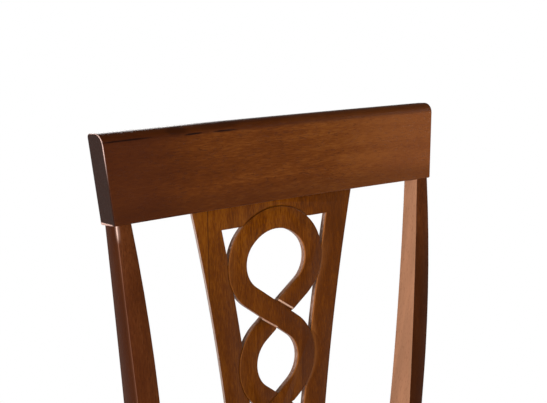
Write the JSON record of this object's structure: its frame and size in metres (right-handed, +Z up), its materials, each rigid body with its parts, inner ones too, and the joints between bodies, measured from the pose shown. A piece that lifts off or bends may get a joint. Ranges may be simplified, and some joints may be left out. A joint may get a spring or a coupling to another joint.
{
  "type": "dining chair",
  "caption": "Stained wood dining chair with a curved crest rail, a pierced splat of interlaced loops, tapered front legs, swept rear legs, stretchers and an upholstered seat pad.",
  "frame": {"origin": "on the floor, under the middle of the chair's bounding box", "axes": "+Z up, -Y the way a sitter faces, +X to the right as seen from the front"},
  "size_m": [0.4672, 0.475, 0.9725],
  "materials": {
    "frame_wood": "dark walnut-brown stain under satin lacquer, fine open grain",
    "splat_wood": "walnut-brown stain, a little warmer than the frame, satin lacquer",
    "block_wood": "plain unfinished hardwood",
    "plywood": "plain sanded plywood",
    "seat_fabric": "plain woven upholstery cloth, matt",
    "lining_cloth": "black non-woven lining",
    "screw_steel": "zinc-plated steel",
    "glide_plastic": "brown nylon, matt"
  },
  "bodies": {
    "root": {"crest_rail": "frame_wood", "left_back_post": "frame_wood", "right_back_post": "frame_wood", "left_front_leg": "frame_wood", "right_front_leg": "frame_wood", "front_seat_rail": "frame_wood", "rear_seat_rail": "frame_wood", "left_seat_rail": "frame_wood", "right_seat_rail": "frame_wood", "left_side_stretcher": "frame_wood", "right_side_stretcher": "frame_wood", "middle_stretcher": "frame_wood", "splat_shoe": "frame_wood", "back_splat": "splat_wood", "front_left_corner_block": "block_wood", "front_right_corner_block": "block_wood", "rear_left_corner_block": "block_wood", "rear_right_corner_block": "block_wood", "seat_board": "plywood", "seat_pad": "seat_fabric", "dust_cover": "lining_cloth", "corner_block_screws": "screw_steel", "seat_screws": "screw_steel", "leg_glides": "glide_plastic"}
  },
  "joints": []
}
